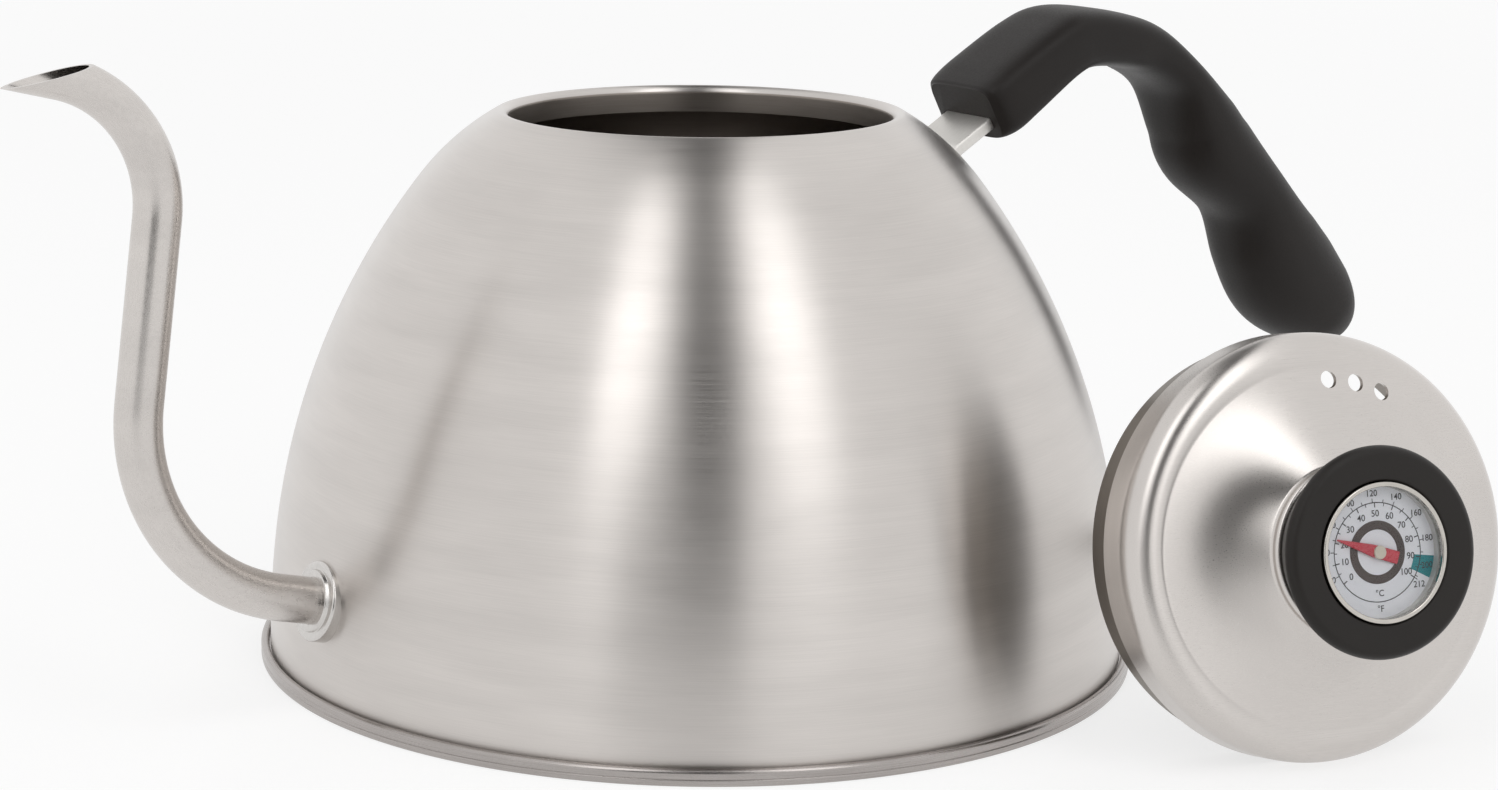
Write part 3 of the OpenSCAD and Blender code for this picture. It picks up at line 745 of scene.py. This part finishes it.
def celsius(t):
    """Where a temperature lies on the dial, in degrees clockwise from the top."""
    return -125 + 2.5 * t


def fahrenheit(f):
    return celsius((f - 32) / 1.8)


def clock(r, deg):
    """A point on the dial, r out and degrees clockwise from the top, in metres."""
    return (r * sin(deg) * MM, r * cos(deg) * MM)


def print_on_dial(name, points, faces, mat, lift=0.0):
    z = (PRINT_Z + lift) * MM
    give(new_object(name, [(x, y, z) for x, y in points], faces, LID), "lid", "dial_white", mat)


def arc_band(name, inner_r, outer_r, start, end, mat, steps, lift=0.0):
    points, faces = [], []
    for i in range(steps + 1):
        deg = start + (end - start) * i / steps
        points += [clock(inner_r, deg), clock(outer_r, deg)]
        if i:
            faces.append((2 * i - 2, 2 * i - 1, 2 * i + 1, 2 * i))
    print_on_dial(name, points, faces, mat, lift)


def tick(inner_r, outer_r, deg, width):
    """The four corners of a scale line."""
    across_x, across_y = width * MM / 2 * cos(deg), width * MM / 2 * sin(deg)
    points = []
    for r, side in ((inner_r, -1), (outer_r, -1), (outer_r, 1), (inner_r, 1)):
        x, y = clock(r, deg)
        points.append((x + side * across_x, y - side * across_y))
    return points


def scale_ticks():
    """Celsius lines inside the scale's circle and Fahrenheit lines outside it."""
    long_in, short_in, short_out, long_out = 7.5, 7.75, 8.85, 9.0
    thin, thick = 0.13, 0.18
    points = []
    for t in range(0, 101, 5):
        long_line = t % 10 == 0
        points += tick(long_in if long_line else short_in, SCALE_R, celsius(t),
                       thick if long_line else thin)
    for f in range(40, 213, 10):
        points += tick(SCALE_R, short_out if f % 20 else long_out, fahrenheit(f), thin)
    points += tick(SCALE_R, long_out, celsius(100), thin)
    faces = [(n, n + 1, n + 2, n + 3) for n in range(0, len(points), 4)]
    print_on_dial("scale_ticks", points, faces, ink_mat, OVERPRINT)


def label(name, text, r, deg, size):
    """Upright printed text centred on a dial position."""
    stroke = 0.012
    letters = bpy.data.curves.new(name, "FONT")
    letters.body = text
    letters.size = size * MM
    letters.align_x, letters.align_y = "CENTER", "CENTER"
    letters.offset = stroke * MM
    place = LID @ Matrix.Translation((*clock(r, deg), (PRINT_Z + OVERPRINT) * MM))
    source = add_object(name, letters, place)
    printed_text = add_object(name + "_mesh", finished_mesh(source), place)
    bpy.data.objects.remove(source)
    give(printed_text, "lid", "dial_white", ink_mat)


def dial_printing():
    """Both scales, the range mark, and a plain ring round the bare middle."""
    half_line = 0.08
    celsius_r, fahrenheit_r, last_r = 6.45, 9.85, 9.75
    nudges = {200: -1, 212: 3}  # degrees that keep these two numbers apart
    arc_band("scale_circle", SCALE_R - half_line, SCALE_R + half_line, 0, 360, ink_mat, 160, OVERPRINT)
    arc_band("teal_zone", 7.0, 10.95, celsius(89), celsius(97), teal_mat, 16)
    arc_band("centre_ring", 3.8, 5.3, 0, 360, ring_mat, 120)
    scale_ticks()
    for t in range(0, 101, 10):
        label("c_%d" % t, str(t), celsius_r, celsius(t), 1.55)
    for f in (*range(40, 201, 20), 212):
        label("f_%d" % f, str(f), fahrenheit_r if f < 212 else last_r,
              fahrenheit(f) + nudges.get(f, 0), 1.5)
    label("unit_c", "°C", 6.9, 180, 1.5)
    label("unit_f", "°F", 9.5, 180, 1.5)


# ---------------------------------------------------------------- needle
NEEDLE_BOTTOM, NEEDLE_TOP = DIAL_TOP + 0.45, DIAL_TOP + 0.70


def needle_pointer():
    """A slim pointer with a tail, its top edges bevelled up to a low ridge over the spindle."""
    shoulder_y, ridge, narrowed, shortened = 1.2, 0.04, 0.86, 0.99
    right = [(0.12, NEEDLE_LEN), (1.05, shoulder_y), (1.1, -NEEDLE_TAIL)]
    edge = right + [(-x, y) for x, y in reversed(right)]
    n = len(edge)
    verts = [(x * MM, y * MM, NEEDLE_BOTTOM * MM) for x, y in edge]
    verts += [(x * narrowed * MM, y * shortened * MM, NEEDLE_TOP * MM) for x, y in edge]
    verts += [(0, shoulder_y * MM, (NEEDLE_TOP + ridge) * MM)]
    faces = [tuple(reversed(range(n)))]
    faces += [(i, (i + 1) % n, n + (i + 1) % n, n + i) for i in range(n)]
    faces += [(n + i, n + (i + 1) % n, 2 * n) for i in range(n)]
    turn = Matrix.Rotation(math.radians(-celsius(NEEDLE_TEMP)), 4, "Z")
    needle = new_object("needle_fine", verts, faces, LID @ turn)
    give(needle, "needle", "needle_red", needle_mat, "needle_pointer")


def needle_hub():
    """A low button over the spindle."""
    hub_r, top = 1.15, DIAL_TOP + 1.0
    edge = rounded([(hub_r, NEEDLE_TOP, 0), (hub_r, top, 0.12), (0, top, 0)])
    hub = lathe("needle_hub_fine", [(0, NEEDLE_TOP)] + edge, 64, LID, closed=False)
    give(hub, "needle", "hub_cream", hub_mat, "needle_hub")


# ---------------------------------------------------------------- stem and its fixing
def stem_tube():
    """A thin tube with its foot eased."""
    foot_z, top = -STEM_LEN, LAND - STEM_TOP_DIP
    profile = [(STEM_BORE, top), (STEM_R, top), (STEM_R, foot_z + 0.5), (STEM_R - 0.01, foot_z),
               (STEM_BORE, foot_z)]
    give(lathe("stem_fine", profile, 96, LID), "lid", "case_steel", case_mat, "stem_tube")


def stem_tip():
    """A domed cap on the foot of the stem."""
    cap_r, dome_z, dome_h = STEM_R - 0.02, -STEM_LEN - 0.2, 0.8
    profile = [(0, -STEM_LEN + 0.1), (cap_r, -STEM_LEN), (cap_r, dome_z)]
    profile += [(cap_r * cos(a), dome_z - dome_h * sin(a)) for a in range(10, 91, 10)]
    tip = lathe("stem_tip_fine", profile, 96, LID, closed=False)
    give(tip, "lid", "case_steel", case_mat, "stem_tip")


def seal_washer():
    """A soft washer between the lid and the nut, as wide as the nut."""
    top, bottom = LAND - WALL, LAND - WALL - 1.0
    profile = rounded([(BOSS_R, bottom, 0.1), (NUT_R, bottom, 0.3), (NUT_R, top, 0.3),
                       (BOSS_R, top, 0.1)])
    give(lathe("washer_fine", profile, 128, LID), "lid", "washer_silicone", pale_mat, "seal_washer")


for build in (body_shell, base_pan, heat_plate, spout_tube, spout_collar, handle_strap, handle_grip,
              lid_shell, lid_plug, knob_ring, bezel_ring, dial_glass, glass_gasket, dial_plate,
              dial_printing, needle_pointer, needle_hub, stem_tube, stem_tip, seal_washer):
    build()
for node, mat in (("grip_screw", screw_mat), ("thermo_case", case_mat), ("clamp_nut", case_mat),
                  ("bimetal_coil", coil_mat), ("spindle_bush", bush_mat), ("needle_spindle", case_mat)):
    paint(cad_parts[node], mat)


# ---------------------------------------------------------------- floor and surroundings
def seen_rays(tree):
    """A socket that is 1 for rays of the camera, mirrors and glass and 0 for falling light."""
    path = tree.nodes.new("ShaderNodeLightPath")
    either, seen = tree.nodes.new("ShaderNodeMath"), tree.nodes.new("ShaderNodeMath")
    either.operation = seen.operation = "MAXIMUM"
    tree.links.new(path.outputs["Is Camera Ray"], either.inputs[0])
    tree.links.new(path.outputs["Is Glossy Ray"], either.inputs[1])
    tree.links.new(either.outputs[0], seen.inputs[0])
    tree.links.new(path.outputs["Is Transmission Ray"], seen.inputs[1])
    return seen.outputs[0]


def stage_material(name):
    """An empty material, its node tree and the socket that its surface goes to."""
    mat = bpy.data.materials.new(name)
    mat.use_nodes = True
    mat.node_tree.nodes.remove(mat.node_tree.nodes["Principled BSDF"])
    return mat, mat.node_tree, mat.node_tree.nodes["Material Output"].inputs["Surface"]


def grey_shader(tree, kind, level, strength=None):
    node = tree.nodes.new(kind)
    node.inputs["Color"].default_value = (level, level, level, 1)
    if strength is not None:
        node.inputs["Strength"].default_value = strength
    return node.outputs[0]


def add_floor():
    """A plain pale floor. Where it is seen, most of its white is glow and the rest takes the
    object's shadow. For falling light it is plain white."""
    half, glow, shaded, white = 6, 0.72, 0.34, 0.80
    floor = new_object("floor", [(-half, -half, 0), (half, -half, 0), (half, half, 0), (-half, half, 0)],
                       [(0, 1, 2, 3)])
    mat, tree, surface = stage_material("floor_white")
    seen, chosen = tree.nodes.new("ShaderNodeAddShader"), tree.nodes.new("ShaderNodeMixShader")
    tree.links.new(grey_shader(tree, "ShaderNodeBsdfDiffuse", shaded), seen.inputs[0])
    tree.links.new(grey_shader(tree, "ShaderNodeEmission", 1.0, glow), seen.inputs[1])
    tree.links.new(seen_rays(tree), chosen.inputs[0])
    tree.links.new(grey_shader(tree, "ShaderNodeBsdfDiffuse", white), chosen.inputs[1])
    tree.links.new(seen.outputs[0], chosen.inputs[2])
    tree.links.new(chosen.outputs[0], surface)
    paint(floor, mat)


def add_world():
    """White where it is seen, and somewhat weaker as a light."""
    lighting, seen = 0.72, 1.0
    world = bpy.data.worlds.new("studio")
    bpy.context.scene.world = world
    world.use_nodes = True
    tree = world.node_tree
    level = tree.nodes.new("ShaderNodeMapRange")
    level.inputs["To Min"].default_value = lighting
    level.inputs["To Max"].default_value = seen
    tree.links.new(seen_rays(tree), level.inputs["Value"])
    tree.links.new(level.outputs[0], tree.nodes["Background"].inputs["Strength"])
    tree.nodes["Background"].inputs["Color"].default_value = (1, 1, 1, 1)


# ---------------------------------------------------------------- camera and what stands round it
# The camera and the middle of the kettle are placed in metres. The camera looks along its
# heading, down by its drop. The photo's width, optical centre and focal length are in its pixels.
CAMERA_AT = Vector((-0.3276, -0.4889, 0.1813))
CAMERA_HEADING, CAMERA_DROP, CAMERA_ROLL = 58.0, 12.655, 0.3466
PHOTO_W, OPTICAL_X, FOCAL_PX = 1498, 599, 3136.9153
SENSOR_W = 36.0
MIDDLE = Vector((0, 0, 0.07))
SOFTBOX_FAR, SOFTBOX_RISE, SOFTBOX_TALL = 1.4, 50, 54
camera_turn = math.degrees(math.atan2(CAMERA_AT.y, CAMERA_AT.x))


def sight(turn, rise):
    """Direction from the kettle, turned from the camera's side; positive is to the right."""
    a = camera_turn + turn
    return Vector((cos(a) * cos(rise), sin(a) * cos(rise), sin(rise)))


def softbox(name, turn, wide, level):
    """A tall area light that faces the kettle; 'wide' is in degrees as seen from there."""
    light = bpy.data.lights.new(name, "AREA")
    light.shape = "RECTANGLE"
    light.size = 2 * SOFTBOX_FAR * math.tan(math.radians(wide / 2))
    light.size_y = 2 * SOFTBOX_FAR * math.tan(math.radians(SOFTBOX_TALL / 2))
    light.energy = level * math.pi * light.size * light.size_y
    look = sight(turn, SOFTBOX_RISE)
    add_object(name, light, Matrix.Translation(MIDDLE + look * SOFTBOX_FAR)
               @ (-look).to_track_quat("-Z", "Y").to_matrix().to_4x4())


def dark_panel(ob, mat):
    """Dresses a panel that only reflections show."""
    paint(ob, mat)
    ob.visible_camera = ob.visible_shadow = False


def add_dark_ceiling():
    """A dark strip of ceiling between the two softboxes, darkest and widest high up."""
    turn, half_width, far = 4.5, 7.5, 1.6
    first_rise, last_rise, step = -1, 140, 3
    widening, widest_rise = 0.35, 80
    low_glow, high_glow = 0.26, 0.015
    across = Vector((-sin(camera_turn + turn), cos(camera_turn + turn), 0))
    across = across * far * math.tan(math.radians(half_width))
    points = []
    for rise in range(first_rise, last_rise + 1, step):
        at = MIDDLE + sight(turn, rise) * far
        reach = across * (1 + widening * min(max(rise, 0), widest_rise) / widest_rise)
        points += [at - reach, at + reach]
    faces = [(k, k + 1, k + 3, k + 2) for k in range(0, len(points) - 2, 2)]
    strip = new_object("dark_ceiling", [tuple(p) for p in points], faces)
    mat, tree, surface = stage_material("ceiling_dark")
    height, fade = tree.nodes.new("ShaderNodeSeparateXYZ"), tree.nodes.new("ShaderNodeMapRange")
    tree.links.new(tree.nodes.new("ShaderNodeTexCoord").outputs["Object"], height.inputs[0])
    tree.links.new(height.outputs["Z"], fade.inputs["Value"])
    for name, value in (("From Min", 0.0), ("From Max", 1.0), ("To Min", low_glow),
                        ("To Max", high_glow)):
        fade.inputs[name].default_value = value
    glow = tree.nodes.new("ShaderNodeEmission")
    tree.links.new(fade.outputs[0], glow.inputs["Strength"])
    tree.links.new(glow.outputs[0], surface)
    dark_panel(strip, mat)


def add_dark_figure():
    """A plain dark panel where the photographer stood, between the lens and the softboxes."""
    far, tall, sides, foot_rise, glow = 0.95, 0.36, (-20, 12), -3, 0.03
    low = [MIDDLE + sight(turn, foot_rise) * far for turn in sides]
    high = [p + Vector((0, 0, tall)) for p in low]
    figure = new_object("dark_figure", [tuple(p) for p in low + high], [(0, 1, 3, 2)])
    mat, tree, surface = stage_material("figure_dark")
    tree.links.new(grey_shader(tree, "ShaderNodeEmission", 1.0, glow), surface)
    dark_panel(figure, mat)


def add_camera():
    """The photograph's own camera. Its optical centre lies left of the photo's middle."""
    lens = bpy.data.cameras.new("photo_camera")
    lens.sensor_width, lens.lens = SENSOR_W, FOCAL_PX / PHOTO_W * SENSOR_W
    lens.shift_x = (PHOTO_W / 2 - OPTICAL_X) / PHOTO_W
    lens.clip_start, lens.clip_end = 0.02, 30
    level = Vector((cos(CAMERA_HEADING), sin(CAMERA_HEADING), 0))
    forward = level * cos(CAMERA_DROP) - Vector((0, 0, sin(CAMERA_DROP)))
    level_right = Vector((level.y, -level.x, 0))
    right = level_right * cos(CAMERA_ROLL) + level_right.cross(forward) * sin(CAMERA_ROLL)
    turned = Matrix((right, right.cross(forward), -forward)).transposed().to_4x4()
    bpy.context.scene.camera = add_object("photo_camera", lens, Matrix.Translation(CAMERA_AT) @ turned)


add_floor()
add_world()
bpy.context.scene.view_settings.view_transform = "Standard"
softbox("key_left", -24, 15, 1.5)
softbox("key_right", 34, 16, 1.55)
add_dark_ceiling()
add_dark_figure()
add_camera()
